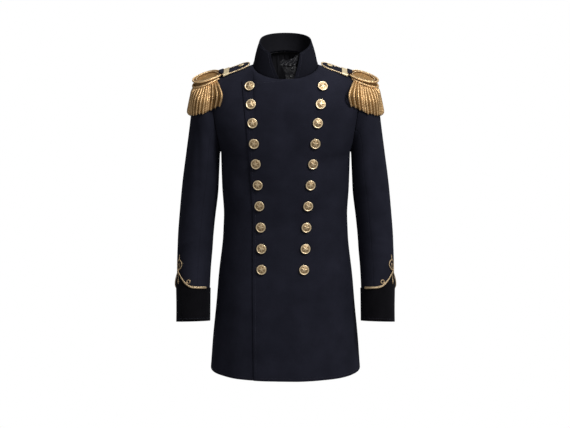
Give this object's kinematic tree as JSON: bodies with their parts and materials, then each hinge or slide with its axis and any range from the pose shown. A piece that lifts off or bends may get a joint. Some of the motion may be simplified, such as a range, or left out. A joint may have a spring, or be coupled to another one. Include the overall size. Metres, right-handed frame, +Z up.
{
  "type": "military coat",
  "caption": "Long double-breasted military dress coat with a high stand collar, fringed gold epaulettes and knotted cuff braid, filled out as worn.",
  "frame": {"origin": "midway between the two side neck points, where the wearer's neck and shoulders carry the coat", "axes": "+Z up along the wearer's height, the front faces -Y, +X is the wearer's left"},
  "size_m": [0.5832, 0.288, 0.8709],
  "materials": {
    "wool": "matt",
    "velvet": "matt pile",
    "satin": "soft sheen",
    "gold_cord": "metallic thread",
    "gold_metal": "antique gilt",
    "black_horn": "semi-gloss"
  },
  "bodies": {
    "root": {"back_left": "wool", "back_right": "wool", "coat_button_left_1": "gold_metal", "coat_button_left_10": "gold_metal", "coat_button_left_2": "gold_metal", "coat_button_left_3": "gold_metal", "coat_button_left_4": "gold_metal", "coat_button_left_5": "gold_metal", "coat_button_left_6": "gold_metal", "coat_button_left_7": "gold_metal", "coat_button_left_8": "gold_metal", "coat_button_left_9": "gold_metal", "coat_button_right_1": "gold_metal", "coat_button_right_10": "gold_metal", "coat_button_right_2": "gold_metal", "coat_button_right_3": "gold_metal", "coat_button_right_4": "gold_metal", "coat_button_right_5": "gold_metal", "coat_button_right_6": "gold_metal", "coat_button_right_7": "gold_metal", "coat_button_right_8": "gold_metal", "coat_button_right_9": "gold_metal", "collar": "wool", "crescent_cord_lower_left": "gold_cord", "crescent_cord_lower_right": "gold_cord", "crescent_cord_upper_left": "gold_cord", "crescent_cord_upper_right": "gold_cord", "cuff_braid_left": "gold_cord", "cuff_braid_right": "gold_cord", "cuff_left": "velvet", "cuff_right": "velvet", "epaulette_board_left": "gold_cord", "epaulette_board_right": "gold_cord", "epaulette_strap_left": "wool", "epaulette_strap_right": "wool", "fringe_left": "gold_cord", "fringe_right": "gold_cord", "front_left": "wool", "front_right": "wool", "inner_button_1": "black_horn", "inner_button_2": "black_horn", "inner_stand": "satin", "neck_lining": "satin", "neck_tab": "satin", "sleeve_top_left": "wool", "sleeve_top_right": "wool", "sleeve_under_left": "wool", "sleeve_under_right": "wool", "strap_button_left": "gold_metal", "strap_button_right": "gold_metal", "strap_cord_left": "gold_cord", "strap_cord_right": "gold_cord", "strap_keeper_left": "gold_metal", "strap_keeper_right": "gold_metal"}
  },
  "joints": []
}
